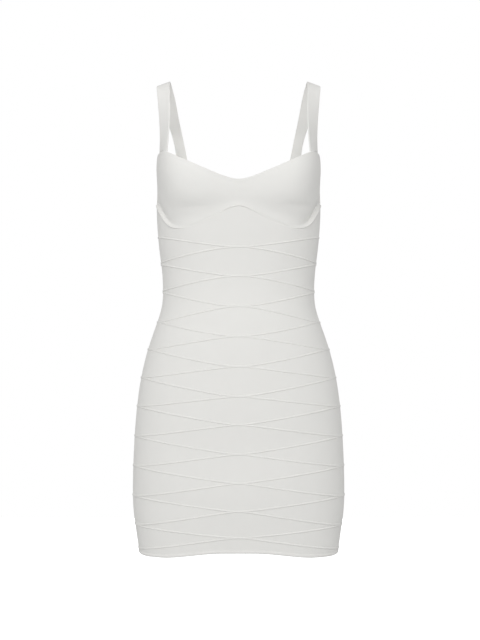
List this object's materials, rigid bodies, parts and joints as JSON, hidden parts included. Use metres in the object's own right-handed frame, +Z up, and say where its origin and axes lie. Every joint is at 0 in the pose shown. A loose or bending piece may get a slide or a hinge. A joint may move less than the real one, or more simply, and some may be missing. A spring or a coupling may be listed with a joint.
{
  "type": "bodycon dress",
  "caption": "Short close-fitting knitted dress with moulded cups, shoulder straps and slanting raised ridges, hollow as worn.",
  "frame": {"origin": "midway between the two straps, at the level where they pass over the shoulders", "axes": "+Z up the wearer's body, -Y out of the front of the dress, +X to the right as the front is looked at"},
  "size_m": [0.3526, 0.2258, 0.7818],
  "materials": {
    "ridged_knit": "matte fine-gauge knit with raised ridges",
    "moulded_knit": "matte fine-gauge knit, smooth over moulded cups",
    "strap_knit": "matte close knit band",
    "seam_cord": "matte knit-covered cord"
  },
  "bodies": {
    "root": {"bust_front": "moulded_knit", "cup_seam_cord": "seam_cord", "body_front": "ridged_knit", "body_back": "ridged_knit", "strap_left": "strap_knit", "strap_right": "strap_knit"}
  },
  "joints": []
}
